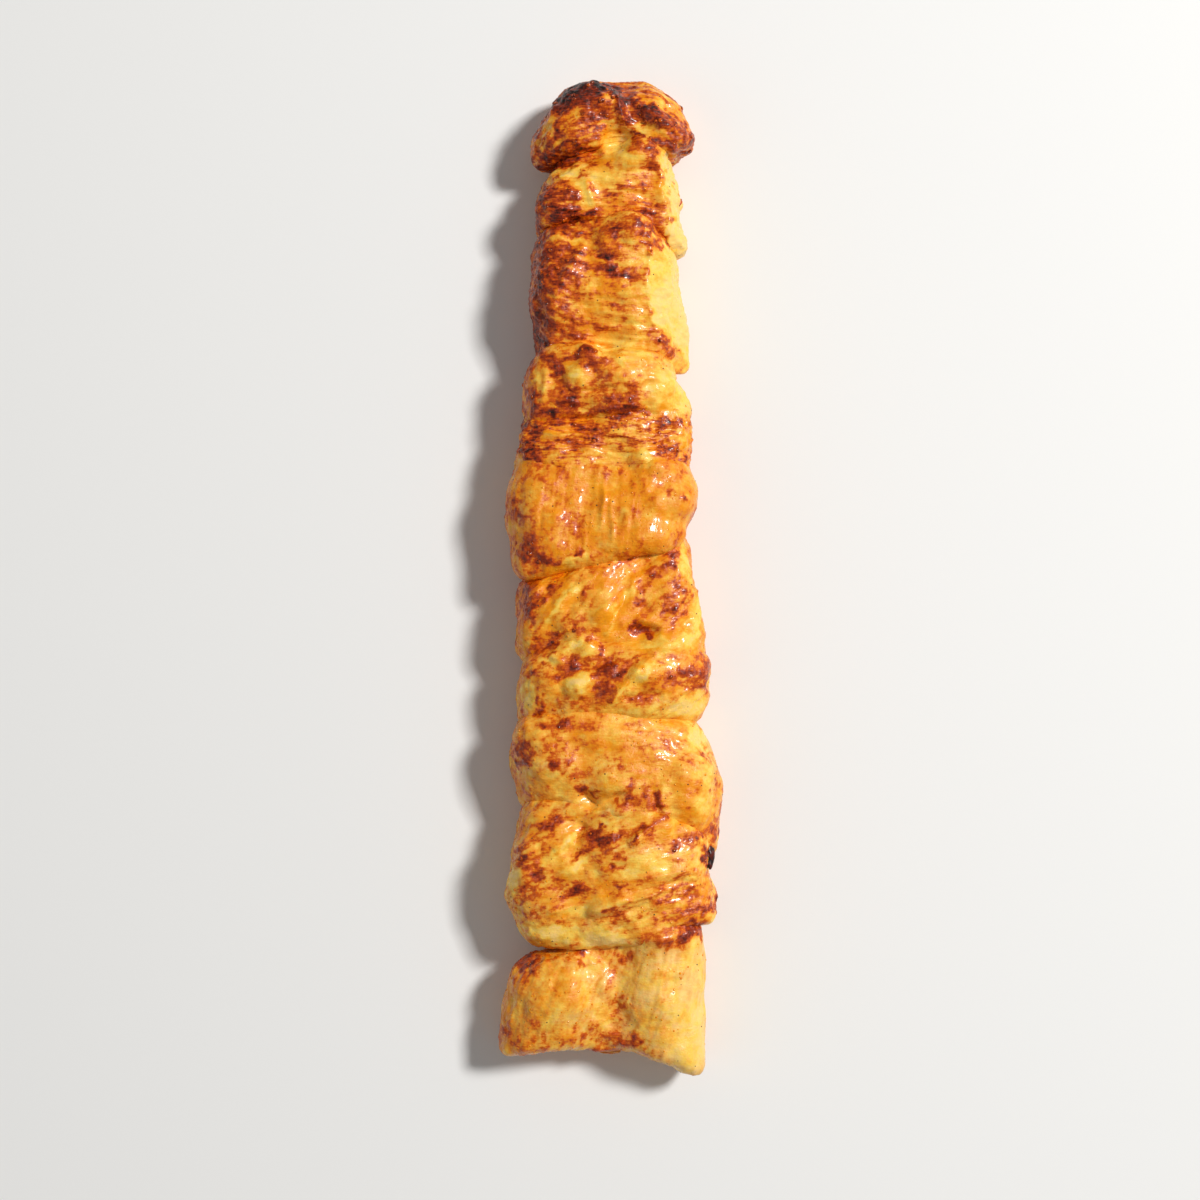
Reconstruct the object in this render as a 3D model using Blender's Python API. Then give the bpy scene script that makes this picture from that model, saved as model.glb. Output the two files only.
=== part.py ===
"""A boneless chicken kebab without its skewer, lying on its underside.

Eleven chunks of chicken are pressed together in one row, as on a skewer.
X runs across the kebab, Y along it towards the folded end, and Z up. Sizes are in
millimetres until a mesh is written.
"""

import math
from typing import NamedTuple

import bpy
from mathutils import Vector, noise

MM = 0.001

REACH = 30.0  # half the usual width: a seam's skew and curl are stated at this distance from the middle
MID_HEIGHT = 14.0  # a seam's lean is stated from here to the underside, and from here to the crown
SEAM_GAP = 0.4  # free space between two neighbours

SIDES = 28  # points round a chunk
CAP_SHARES = (0.45, 0.8)  # rings inside an end face, as shares of its outline
SHOULDER_TURNS = (0.0, 35.0, 65.0, 90.0)  # degrees round the shoulder, from the end face to the side
BELLY_RINGS = 3  # rings between the two shoulders

LUMP_SIZE = 17.0  # spacing of the uneven swellings
LUMP_HEIGHT = 3.2
KNOT_SIZE = 8.0  # spacing of the smaller unevenness on them
KNOT_HEIGHT = 1.1
LUMP_SHIFT = 100.0  # how far apart two chunks read the noise, so that their lumps differ


class Seam(NamedTuple):
    """The surface where two chunks press together, or a free end of the kebab."""

    y: float  # where it crosses the middle
    skew: float = 0.0  # how much further along Y the right edge lies than the middle
    curl: float = 0.0  # how much further along Y both edges lie than the middle
    lean: float = 0.0  # how much further along Y it lies at the crown than at mid height
    flatness: float = 2.0  # the power of the curl: above 2 its middle is flatter and its ends fall away


class Chunk(NamedTuple):
    """One piece of chicken. Each triple is at the head (+Y), the belly and the tail (-Y)."""

    name: str
    left: tuple  # how far the side reaches in -X
    right: tuple  # how far the side reaches in +X
    crown: tuple  # height of the top
    shoulders: tuple  # radius at the head and at the tail
    base: float = -2.0  # height of the underside before it is flattened by lying on it
    squareness: tuple = (2.8, 2.8)  # of the left and right half of the section: 2 is an ellipse
    valley: tuple = (0.0, 0.0, 1.0)  # X, depth and half width of a groove along the top
    set_back: float = 0.0  # how far the head's left corner stands off the seam
    colour: tuple = (0.78, 0.42, 0.10)


SEAMS = (
    Seam(y=171, skew=1.5, curl=-22, lean=-1, flatness=3.5),
    Seam(y=145.5, skew=2, curl=-5, lean=1.5),
    Seam(y=117.5, skew=-3.5, curl=-6, lean=4),
    Seam(y=75, skew=-1, curl=-4, lean=2.5),
    Seam(y=54.5, skew=1.5, lean=1),
    Seam(y=35.5, curl=2),
    Seam(y=9.5, skew=8, curl=-1, lean=-4),
    Seam(y=-25, skew=-1, curl=-2, lean=3),
    Seam(y=-48, curl=-2, lean=1.5),
    Seam(y=-80, skew=-7, curl=-3.5, lean=3),
    Seam(y=-122.5, skew=4, curl=3.5, lean=-1),
    Seam(y=-159, skew=-4, curl=-6, lean=-2),
)

CHUNKS = (
    Chunk(
        "chunk_01_folded_end",
        left=(22, 25, 23.5),
        right=(25, 30, 27.5),
        crown=(25.5, 29.5, 26.5),
        shoulders=(8, 4),
        valley=(4, 7, 7),
        colour=(0.55, 0.24, 0.07),
    ),
    Chunk(
        "chunk_02",
        left=(20, 25, 26),
        right=(19, 24, 23),
        crown=(24.5, 26.5, 25.5),
        shoulders=(3, 4),
        base=0.8,
        squareness=(2.6, 3.2),
    ),
    Chunk(
        "chunk_03",
        left=(25, 27, 26),
        right=(23, 26, 27),
        crown=(27.5, 31.5, 27.5),
        shoulders=(5, 4),
        squareness=(2.5, 2.1),
        colour=(0.80, 0.46, 0.12),
    ),
    Chunk(
        "chunk_04",
        left=(26, 28, 29),
        right=(24, 27, 26),
        crown=(28.5, 31.5, 28.5),
        shoulders=(4, 3),
        base=0.6,
        squareness=(3.0, 2.2),
        colour=(0.66, 0.30, 0.08),
    ),
    Chunk(
        "chunk_05",
        left=(29, 31, 33),
        right=(26, 27, 26),
        crown=(27.5, 29.5, 28.5),
        shoulders=(3, 3),
    ),
    Chunk(
        "chunk_06",
        left=(33, 34, 30),
        right=(27, 29, 26),
        crown=(28.5, 31.5, 29.5),
        shoulders=(3, 4),
        squareness=(3.2, 3.2),
        colour=(0.80, 0.46, 0.12),
    ),
    Chunk(
        "chunk_07",
        left=(29, 32, 30),
        right=(25, 28, 34),
        crown=(28.5, 31.5, 28.5),
        shoulders=(4, 4),
        base=0.7,
        squareness=(2.8, 3.0),
        valley=(8, 3.5, 6),
        colour=(0.80, 0.46, 0.12),
    ),
    Chunk(
        "chunk_08",
        left=(30, 31, 29),
        right=(34, 33, 27),
        crown=(29.5, 32.5, 27.5),
        shoulders=(4, 5),
        squareness=(2.7, 2.7),
    ),
    Chunk(
        "chunk_09",
        left=(31, 33, 29),
        right=(29, 36, 36),
        crown=(28.5, 32.5, 28.5),
        shoulders=(5, 3),
        squareness=(3.0, 2.8),
        colour=(0.82, 0.50, 0.14),
    ),
    Chunk(
        "chunk_10",
        left=(29, 34.5, 30),
        right=(35, 34, 36),
        crown=(29.5, 32.5, 26.5),
        shoulders=(4, 4),
        squareness=(2.8, 2.8),
        valley=(-12, 3, 7),
    ),
    Chunk(
        "chunk_11_saddle_end",
        left=(34, 35.5, 36),
        right=(31, 32, 30.5),
        crown=(27.5, 27.5, 23.5),
        shoulders=(7, 5),
        squareness=(3.0, 3.0),
        set_back=7,
        valley=(1, 8, 9),
        colour=(0.86, 0.62, 0.26),
    ),
)


def through(triple, share):
    """The smooth curve through the values at the head, belly and tail."""
    head, belly, tail = triple
    rest = 1.0 - share
    return head * rest * (1 - 2 * share) + 4 * belly * share * rest + tail * share * (2 * share - 1)


def seam_y(seam, x, z):
    across = x / REACH
    curl = seam.curl * abs(across) ** seam.flatness
    return seam.y + seam.skew * across + curl + seam.lean * (z - MID_HEIGHT) / MID_HEIGHT


def rings(chunk, length):
    """(distance from the head, inset of the side, share of the outline) of each ring."""
    head_radius, tail_radius = chunk.shoulders

    def shoulder(radius):
        for turn in map(math.radians, SHOULDER_TURNS):
            yield radius * (1 - math.cos(turn)), radius * (1 - math.sin(turn))

    head = [(0.0, head_radius, share) for share in CAP_SHARES]
    head += [(along, inset, 1.0) for along, inset in shoulder(head_radius)]
    belly_length = length - head_radius - tail_radius
    belly = [
        (head_radius + belly_length * (step + 1) / (BELLY_RINGS + 1), 0.0, 1.0) for step in range(BELLY_RINGS)
    ]
    tail = [(0.0, tail_radius, share) for share in CAP_SHARES]
    tail += [(along, inset, 1.0) for along, inset in shoulder(tail_radius)]
    return head + belly + [(length - along, inset, share) for along, inset, share in reversed(tail)]


def section_point(chunk, along_share, inset, outline_share, angle):
    """(x, z) of one point of the cross-section, before lumps."""
    cosine, sine = math.cos(angle), math.sin(angle)
    power = 2.0 / chunk.squareness[cosine > 0]
    left, right = (through(side, along_share) - inset for side in (chunk.left, chunk.right))
    top = through(chunk.crown, along_share) - inset
    bottom = chunk.base + inset
    x = (right - left) / 2 + (right + left) / 2 * outline_share * math.copysign(abs(cosine) ** power, cosine)
    z = (top + bottom) / 2 + (top - bottom) / 2 * outline_share * math.copysign(abs(sine) ** power, sine)
    return x, z


def with_lumps(chunk, seed, x, y, z, outline_share):
    """Swells the point away from the chunk's core, and sinks the valley into its top."""
    core_z = (chunk.crown[1] + chunk.base) / 2
    outward = Vector((x, 0.0, z - core_z))
    if outward.length > 0:
        outward.normalize()
    place = Vector((x, y, z + LUMP_SHIFT * seed))
    swell = LUMP_HEIGHT * noise.noise(place / LUMP_SIZE) + KNOT_HEIGHT * noise.noise(place / KNOT_SIZE)
    x += outward.x * swell * outline_share
    z += outward.z * swell * outline_share
    valley_x, depth, half_width = chunk.valley
    topness = min(max((z - core_z) / (chunk.crown[1] - core_z), 0.0), 1.0)
    z -= depth * topness * math.exp(-(((x - valley_x) / half_width) ** 2))
    return x, z


def chunk_mesh(chunk, seed, head_seam, tail_seam):
    """A closed mesh: rings from the head to the tail, closed by a point at each end."""
    length = head_seam.y - tail_seam.y

    def point(distance, inset, outline_share, angle):
        share = distance / length
        x, z = section_point(chunk, share, inset, outline_share, angle)
        x, z = with_lumps(chunk, seed, x, head_seam.y - distance, z, outline_share)
        z = max(z, 0.0)
        head_y = seam_y(head_seam, x, z) - SEAM_GAP / 2 - chunk.set_back * max(-x / REACH, 0.0) ** 2
        tail_y = seam_y(tail_seam, x, z) + SEAM_GAP / 2
        return Vector((x, head_y + (tail_y - head_y) * share, z)) * MM

    rows = rings(chunk, length)
    angles = [2 * math.pi * side / SIDES for side in range(SIDES)]
    points = [point(*row, angle) for row in rows for angle in angles]
    faces = []
    for row in range(len(rows) - 1):
        for side in range(SIDES):
            ahead = (side + 1) % SIDES
            here, after = row * SIDES, (row + 1) * SIDES
            faces.append((here + side, here + ahead, after + ahead, after + side))
    for row, first, turn in ((rows[0], 0, -1), (rows[-1], (len(rows) - 1) * SIDES, 1)):
        pole = len(points)
        points.append(point(row[0], row[1], 0.0, 0.0))
        for side in range(SIDES):
            edge = (first + side, first + (side + 1) % SIDES)
            faces.append((*edge[::turn], pole))
    mesh = bpy.data.meshes.new(chunk.name)
    mesh.from_pydata(points, [], faces)
    mesh.validate()
    mesh.shade_smooth()
    return mesh


def meat_material(chunk):
    material = bpy.data.materials.new(f"{chunk.name}_meat")
    material.use_nodes = True
    shader = material.node_tree.nodes["Principled BSDF"]
    shader.inputs["Base Color"].default_value = (*chunk.colour, 1.0)
    shader.inputs["Roughness"].default_value = 0.4
    shader.inputs["Metallic"].default_value = 0.0
    return material


def centre_on(parent, objects):
    """Moves the row so that its bounding box stands on the origin."""
    corners = [obj.location + point.co for obj in objects for point in obj.data.vertices]
    for axis in range(2):
        values = [corner[axis] for corner in corners]
        parent.location[axis] = -(min(values) + max(values)) / 2
    parent.location.z = -min(corner.z for corner in corners)


def main():
    for obj in list(bpy.data.objects):
        bpy.data.objects.remove(obj)
    row = bpy.data.objects.new("row", None)
    bpy.context.scene.collection.objects.link(row)
    chunks = []
    for index, chunk in enumerate(CHUNKS):
        head_seam, tail_seam = SEAMS[index], SEAMS[index + 1]
        mesh = chunk_mesh(chunk, index + 1, head_seam, tail_seam)
        mesh.materials.append(meat_material(chunk))
        obj = bpy.data.objects.new(chunk.name, mesh)
        middle = Vector((0.0, (head_seam.y + tail_seam.y) / 2 * MM, 0.0))
        for vertex in mesh.vertices:
            vertex.co -= middle
        obj.location = middle
        obj.parent = row
        bpy.context.scene.collection.objects.link(obj)
        chunks.append(obj)
    centre_on(row, chunks)


main()
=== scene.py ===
"""The finish of a grilled chicken kebab: eleven chunks of marinated chicken, pressed in one row.

Each chunk's plain solid is replaced by a fine mesh with its folds, fibres and sear. X runs across
the row, Y along it, and Z up. Places and sizes below are in millimetres, unless a name says else.
"""

import math
from typing import NamedTuple

import bmesh
import bpy
import numpy as np
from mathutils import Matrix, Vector


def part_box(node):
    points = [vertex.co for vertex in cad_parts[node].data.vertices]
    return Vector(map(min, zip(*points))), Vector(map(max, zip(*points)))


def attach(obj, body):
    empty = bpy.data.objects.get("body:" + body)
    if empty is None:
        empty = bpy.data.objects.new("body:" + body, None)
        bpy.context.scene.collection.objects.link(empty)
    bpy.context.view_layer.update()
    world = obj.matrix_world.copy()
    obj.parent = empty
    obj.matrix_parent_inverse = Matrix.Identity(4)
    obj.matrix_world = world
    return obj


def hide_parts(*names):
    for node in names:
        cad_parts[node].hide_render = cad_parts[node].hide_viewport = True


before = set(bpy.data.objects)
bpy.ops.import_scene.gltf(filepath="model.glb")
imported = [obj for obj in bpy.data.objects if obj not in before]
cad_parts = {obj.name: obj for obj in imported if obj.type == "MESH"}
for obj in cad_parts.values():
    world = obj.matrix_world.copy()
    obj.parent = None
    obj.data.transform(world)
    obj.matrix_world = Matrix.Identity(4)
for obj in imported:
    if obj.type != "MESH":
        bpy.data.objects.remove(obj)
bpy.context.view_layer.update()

MM = 0.001

FINE_MESH = 0.48  # side of a chunk's mesh faces
SWELL = 0.45  # how far a chunk swells past its plain solid, which closes the gap to its neighbour
HALF_WIDTH = 30.0  # where the left and the right value of a triple hold
SCORCH = 0.72  # past this share of browning, meat darkens more slowly
CRUST = (0.38, 0.70)  # shares of browning between which a crust forms
UNDERSIDE_BROWNING = 0.30
GROUND_GAP = 0.05  # keeps the lowest faces just clear of the floor
OVAL_REACH = 1.7  # the square of how far past its half sizes an oval mark fades out
SEAM_BLEND = 4.0  # how far inside its ends a chunk's own tones set in
MARK_REACH = 12.0  # how far past a chunk's ends its neighbours' marks are looked for

# Heights between which the marked top takes over from the plain underside, a press at a seam sets
# in, and the pull of a lap sets in.
TOP_HEIGHTS = (4.0, 11.0)
PRESS_HEIGHTS = (7.0, 19.0)
LAP_HEIGHTS = (10.0, 22.0)

WORLD_STRENGTH = 0.21
LAMPS = (  # name, direction, then distance and side in metres, and power in watts
    ("key_lamp", (0.58, 0.29, 0.76), 2.4, 0.4, 58.0),
    ("fill_lamp", (-0.7, -0.3, 0.65), 2.4, 1.6, 4.2),
)
CAMERA_LENS = 66.2
CAMERA_TARGET = (-3.7, -9.2, 18.0)
CAMERA_DISTANCE = 0.75  # in metres
CAMERA_TILT = 2.0  # degrees from straight down

# Colours as they look under white light, from 0 to 255.
CREAM = (248, 204, 116)
PALE_YELLOW = (250, 202, 82)
SAFFRON = (240, 154, 12)
ORANGE = (230, 126, 6)
DEEP_ORANGE = (204, 88, 2)
RED_BROWN = (154, 48, 2)
DARK_SEAR = (92, 24, 6)
CHAR = (26, 11, 8)
FLOOR_COLOUR = (236, 235, 232)


class Piece(NamedTuple):
    """How one chunk looks. Triples hold its left, middle and right, seen from above.

    Every x and y is a distance from the middle of the chunk's own box in the frame.
    """

    node: str
    slot: str
    fibres: tuple  # direction of the meat's fibres, in degrees from X
    tint: tuple  # 0 is cream, 0.4 pale yellow, 1 saffron
    browning: tuple  # 0 is pale, 0.3 orange, 0.65 red-brown, 1 nearly black
    grain: float  # how strongly the fibres stand out
    press: tuple  # how far its lower end and the next chunk's upper end are pushed into each other
    folds: tuple = ()  # x, y of one end, x, y of the other, width, height: below 0 it is a crease
    bosses: tuple = ()  # x, y, half length, half width, turn, height: below 0 it is a dent
    laps: tuple = ()  # x, y, half length, half width, how far it is pulled along X, Y and Z
    tapers: tuple = ()  # the same, for a pull on the chunk's whole height
    sears_and_painted_shade: tuple = ()  # x, y, half length, half width, turn, strength; a few are painted shade in creases and under laps
    pales_and_painted_light: tuple = ()  # the same, for places that the heat has spared; a few are painted light on faces turned to the light
    painted_light_and_shade_faces: tuple = ()  # faces toned as painted light and shade: how much paler as painted light, below 0 darker as painted shade, then the corners


PIECES = (
    Piece(
        "chunk_01_folded_end",
        "seared_meat",
        fibres=(30, 0, -24),
        tint=(0.75, 0.6, 0.9),
        browning=(0.6, 0.36, 0.32),
        grain=1.3,
        press=(0.5, 1.2, 0.5),
        folds=(
            (-18, 4.6, -4.2, 10.5, 3, 2.5),
            (-4.2, 9.5, 5.7, -3.3, 2.6, 3),
            (4.7, 5.6, 21.6, -5.3, 2.4, 2),
            (1.8, -3.3, 26.5, -9.3, 1.2, 1.12),
            (-17, -16.2, 0.8, -11.3, 2, -2),
            (2.8, 1.6, 12.7, -4.3, 1.6, -1.75),
            (3.5, 0.5, 25, -6.5, 0.9, 0.88),
            (3, -2.5, 24.5, -9.5, 0.9, -1),
            (6, -6.5, 23, -11.5, 0.9, 0.75),
        ),
        bosses=(
            (-4.7, 4.1, 3, 2.4, 10, 1.75),
            (0.8, -8.3, 5, 5, 60, -2),
            (24, -7.5, 4, 2.5, -20, 0.62),
        ),
        laps=(
            (16, -14.5, 7, 4, 0, 2.5, -1),
        ),
        tapers=(
            (28, -16, 9, 8, -1, 6, 0),
        ),
        sears_and_painted_shade=(
            (-4.6, 7.4, 7, 2.6, 5, 0.8),
            (-15, 6.1, 7, 3.6, 38, 0.95),
            (-5.1, 9.5, 8, 3.2, 8, 0.85),
            (2.8, 1.6, 8.5, 2.6, -58, 0.95),
            (11.7, 1.1, 10, 2.6, -34, 0.85),
            (23.5, -5.3, 6, 3, -25, 0.5),
            (-20, -14.2, 6, 3.2, 10, 0.6),
            (-12.1, -10.3, 3, 1.6, 30, 0.3),
            (-9.1, -2.4, 5, 4, 0, 0.3),
            (20.6, -15.2, 6, 1.4, 8, 0.35),
        ),
        pales_and_painted_light=(
            (0.8, -8.8, 6, 5.5, 60, 0.55),
            (-3.6, 3.2, 2.2, 1.2, 10, 0.55),
            (-22, -4.3, 2.6, 7, -14, 0.35),
            (13.7, 4.6, 5.5, 2.6, -22, 0.35),
            (10.7, -4.8, 7, 1.6, -22, 0.5),
            (18.6, -12.7, 6, 2.2, -6, 0.3),
        ),
    ),
    Piece(
        "chunk_02",
        "golden_meat",
        fibres=(-2, -4, -10),
        tint=(0.7, 0.62, 0.6),
        browning=(0.4, 0.2, 0.3),
        grain=1.5,
        press=(1.2, 1.2, 1.2),
        folds=(
            (14.8, 17.1, 20.3, -15.7, 1.6, 1.38),
            (-9, 6.2, -6, -2.7, 1.8, 1.12),
            (-21.9, -6.7, -4, -10.7, 2, -1),
            (2.9, -1.8, 17.8, -4.7, 1, 0.75),
            (1.9, 3.2, 18.8, 2.2, 0.9, 0.62),
        ),
        bosses=(
            (7.9, 14.1, 6, 4, 20, 1.75),
            (-16.9, -1.8, 7, 7, 0, 1.25),
            (23.3, 0.2, 1.6, 1.6, 0, 1.5),
        ),
        laps=(
            (8.9, 14.1, 12, 7, 0, 3.6, 1.8),
        ),
        sears_and_painted_shade=(
            (-18.9, -2.7, 7, 8.5, 0, 0.42),
            (-13.9, -8.7, 8, 2.6, 10, 0.3),
            (12.9, 15.6, 3, 3.4, -60, 0.25),
            (9.9, 3.2, 9, 3.4, -3, 0.26),
            (8.9, -4.2, 10, 2.6, -6, 0.34),
            (16.8, -11.7, 5, 6, 0, 0.52),
            (-6, -7.7, 3.2, 2.2, 0, 0.45),
            (-1, 9.7, 1.6, 0.9, 20, 0.8),
            (23.5, 0, 1.3, 1.3, 0, 0.7),
            # Painted shade: a browner line along the crease under the next chunk's crest.
            (1.9, -11.7, 9, 1.8, 12, 0.4),
            (-22.9, -13.7, 3, 5, 0, 0.25),
        ),
        pales_and_painted_light=(
            (4.9, 13.1, 5, 2.8, 15, 0.35),
            (-8.5, 1.2, 2, 6, 20, 0.45),
            (-2, 7.7, 4, 4, 0, 0.25),
            # Painted light: the steep right side is made paler, as it faces the light.
            (23.3, -3.7, 2.8, 16, -4, 0.8),
            (-14.9, 9.2, 6, 2, 14, 0.6),
            (-12, -10.7, 8, 1.2, 6, 0.2),
        ),
        painted_light_and_shade_faces=(
            # Painted light: the right faces, turned to the light, are made paler.
            (0.60, (17.7, 13), (20, 3.5), (20.8, -6.9), (20.6, -15.5), (22.5, -23.5), (34, -26), (34, 16)),
        ),
    ),
    Piece(
        "chunk_03",
        "golden_meat",
        fibres=(-30, -8, -4),
        tint=(0.85, 0.72, 0.28),
        browning=(0.52, 0.26, 0.02),
        grain=1,
        press=(2, 2.6, 3.4),
        folds=(
            (-8.6, 16.5, -20.5, -6.2, 1.8, 1.38),
            (13.1, 18.4, 11.6, -0.3, 1.6, 1.12),
            (-9.6, -18.5, -2.2, -20.5, 1.5, 0.4),
            (1.7, -22, 7.1, -25.4, 1.3, 0.9),
            (12.1, -0.3, 16, -15.1, 1.4, 0.75),
            (-22.4, -4.2, -24.4, -11.1, 2, -1.75),
        ),
        bosses=(
            (9.1, 20.9, 6, 5, 70, 2.25),
            (12.5, 18.8, 1.7, 1.5, 0, 1),
            (13.1, 13.7, 1.5, 1.4, 0, 1),
            (18, -16.1, 5, 4, 30, 1.38),
            (0.2, -17, 8, 4.5, 0, -2.25),
            (-21.4, 6.6, 4, 10, 10, 1),
        ),
        laps=(
            (7.1, 19.4, 11, 8, 0, 4, 2),
            (-19.5, 16.5, 5, 4, 0, 1.6, 1.6),
        ),
        sears_and_painted_shade=(
            (-20.5, 6.6, 6.5, 11, 14, 0.26),
            (-11.6, 12.5, 6, 3, 50, 0.34),
            (0.8, 18.7, 1.6, 1.3, 30, 0.85),
            (-2.1, 11.7, 2.6, 1.9, -15, 1.15),
            (0.8, 6.6, 2.3, 2.8, 10, 0.85),
            (5.2, 4.8, 4, 2.2, -10, 0.52),
            (8.1, 21.4, 4, 2.4, 20, 0.36),
            (12.5, 18.8, 1.8, 1.6, 0, 0.62),
            (13.1, 13.7, 1.6, 1.4, 0, 0.62),
            (16.5, -13.1, 3.2, 3, 0, 0.55),
            (20.4, -16.5, 3.4, 5, 15, 0.62),
            (16, -22.8, 2.6, 1.5, -10, 0.55),
            (-23.4, -15.1, 3, 8, 0, 0.2),
            (-2.7, -2.3, 8, 2, -6, 0.22),
            (4.2, -10.1, 5, 2.2, 0, 0.2),
            (-12.6, -10.1, 6, 2, -8, 0.18),
        ),
        pales_and_painted_light=(
            (-5.9, 0.7, 2.8, 1.6, 5, 0.4),
            (5.8, 1.3, 2.8, 1.3, 0, 0.45),
            (7.9, -10.6, 1.6, 2.6, 0, 0.4),
            (0.2, -17, 7.5, 3.6, 0, 0.35),
            (-5.7, -19.2, 4.5, 1.2, -14, 0.4),
            (4.7, -23.7, 3.6, 1.2, -32, 0.5),
            # Painted light: the right face, turned to the light, is made paler.
            (20, -0.3, 6.5, 15, -8, 0.35),
            (-18.5, 18.4, 2.6, 1.6, 0, 0.35),
            (-12.6, 17.9, 3.5, 1.6, -8, 0.55),
            (14, -23, 9, 2.2, 0, 0.25),
        ),
        painted_light_and_shade_faces=(
            # Painted shade: the left face, turned from the light, is made darker.
            (-0.14, (-11.2, 18), (-15.5, 6.5), (-17, -6.6), (-23.5, -18), (-36, -24), (-36, 18)),
            # Painted light: the right face, turned to the light, is made paler.
            (
                0.30, (14.8, 17.6), (11.7, 2.5), (11.9, -6.9), (18.1, -11.6), (22.8, -17.3),
                (32, -24), (36, 0), (30, 18),
            ),
        ),
    ),
    Piece(
        "chunk_04",
        "seared_meat",
        fibres=(8, 4, 0),
        tint=(0.75, 0.72, 0.42),
        browning=(0.4, 0.34, 0.06),
        grain=0.8,
        press=(2.4, 2.4, 3),
        folds=(
            (-14.8, 7.9, -3, 8.9, 3, 0.7),
            (-20.8, 6, -21.7, -5.9, 1.4, 1),
            (-5, 5.5, 9.8, 1, 2.2, 1),
            (-8.9, -2.4, 2.9, -1.4, 0.9, -1),
            (12.8, 3.5, 25.6, 2.6, 0.7, -0.88),
        ),
        bosses=(
            (-10.2, 2.3, 4.6, 4.2, 80, 2.12),
            (-13.9, -6.1, 3, 1.8, 0, 1),
            (-3, 8.9, 7, 3.4, -10, 0.6),
        ),
        laps=(
            (-2, 7.9, 7, 3.4, 0, 1.2, 0.9),
        ),
        sears_and_painted_shade=(
            (-17.8, 5, 4.4, 5.5, 20, 0.42),
            (-8.9, 9.4, 5, 1.6, 0, 0.42),
            (-12.9, -5.9, 4, 2.6, -20, 0.62),
            (-20.1, -9, 3.2, 1.7, 0, 0.95),
            (-5, -8.8, 5, 2, 0, 0.28),
            (2.9, -7.3, 7, 3, -4, 0.55),
            (8.8, -9.6, 6, 2, -4, 0.5),
            (0.9, 0.6, 7, 3, 0, 0.12),
            (9.8, -2.9, 5, 3, -20, 0.22),
            (20.6, -11.2, 4, 1.8, 10, 0.3),
            (-25.7, -4.9, 2, 6, 0, 0.15),
        ),
        pales_and_painted_light=(
            (-10.2, 2.3, 3.8, 3.8, 0, 0.75),
            (-21.7, 2, 1.8, 6, 10, 0.45),
            (-7.9, -7.5, 1.8, 1.2, 0, 0.45),
            (4.4, 2, 3, 1.6, 0, 0.28),
            (20.6, -1.9, 7, 7, 0, 0.25),
        ),
    ),
    Piece(
        "chunk_05",
        "golden_meat",
        fibres=(-3, -3, -5),
        tint=(0.82, 0.74, 0.78),
        browning=(0.37, 0.31, 0.26),
        grain=1.9,
        press=(4, 4, 4),
        folds=(
            (-17, 4.6, 0.8, 3.1, 0.9, -0.75),
            (-19, 0.1, 2.8, -0.8, 0.9, -0.75),
            (-12.1, -3.3, 3.7, -4.3, 0.9, -0.62),
            (-21, 2.6, -3.2, 1.6, 1, 0.75),
        ),
        bosses=(
            (7.7, 2.1, 4, 3, 10, 0.62),
            (12.6, -5.8, 6, 3, -15, 1.12),
            (-23.9, -5.3, 3, 3, 0, 1),
        ),
        sears_and_painted_shade=(
            (-24.4, 3.6, 3.2, 5, 0, 0.52),
            (-23.9, -3.5, 3, 2, 0, 0.5),
            (-18.5, -1.3, 2.2, 1.6, 0, 0.35),
            (-14.6, -6.4, 2.4, 1.6, 0, 0.55),
            (-6.1, 3.8, 7, 0.8, -4, 0.42),
            (-5.2, 1.6, 8, 0.7, -2, 0.36),
            (-9.1, -1.7, 7, 0.7, -4, 0.3),
            (20.1, 1.6, 4.2, 3, -10, 0.24),
            (21.5, -3.3, 4, 2.4, -14, 0.32),
            (25.5, -4.5, 2, 1.4, 0, 0.4),
            (22.5, 7.1, 4, 1.8, 20, 0.3),
            # Painted shade: a browner line along the crease at the chunk's lower edge.
            (2.8, -9.4, 5, 1.4, 0, 0.32),
        ),
        pales_and_painted_light=(
            (7.2, 3.1, 2.6, 2, 0, 0.35),
            (13.6, -6.1, 5.6, 2.4, -14, 0.45),
            (1.8, -2.3, 3, 2.6, 0, 0.18),
            (27, 0.6, 1.6, 5, 0, 0.3),
            (-26.9, -7.3, 3, 3, 0, 0.4),
        ),
    ),
    Piece(
        "chunk_06",
        "golden_meat",
        fibres=(84, 82, 80),
        tint=(0.78, 0.82, 0.88),
        browning=(0.22, 0.17, 0.18),
        grain=0.45,
        press=(0.6, 1.2, 2),
        folds=(
            (-1.6, 13.8, -2.6, 3, 1.3, 0.36),
            (0.8, 12.8, 0.4, -2, 1.1, 0.85),
            (3.3, 6.9, 3.7, -6.9, 1.1, 0.85),
            (7.5, 4, 8.2, -2.9, 1.3, 0.32),
            (-18.8, -15.3, -5, -10.8, 1.3, 1.1),
        ),
        bosses=(
            (27.6, 8.9, 5, 7, 0, 1),
            (-23.7, 6.9, 5, 6, 0, 0.7),
            (-18.8, -9.8, 7, 3.5, 0, 0.7),
        ),
        laps=(
            (15.7, -4.9, 18, 5, 0, -2.6, 1.6),
        ),
        sears_and_painted_shade=(
            (-28.6, 5.4, 1.5, 6, 0, 0.42),
            (-26.2, 2.2, 4.6, 1.5, -12, 0.45),
            (-21.7, 15.8, 3.2, 1.8, 0, 0.3),
            (-24.7, -6.9, 3, 3, 0, 0.45),
            (-16.8, -4.9, 5, 2, 10, 0.22),
            (-19.3, -12.4, 8.5, 2.6, -10, 0.66),
            (-7.9, -11.2, 3, 1.4, 10, 0.52),
            (-8.9, -1, 5, 4, 0, 0.12),
            (12.4, 5.4, 2.4, 3.6, 0, 0.24),
            (24.6, 8.9, 4, 1.6, -20, 0.26),
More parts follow.
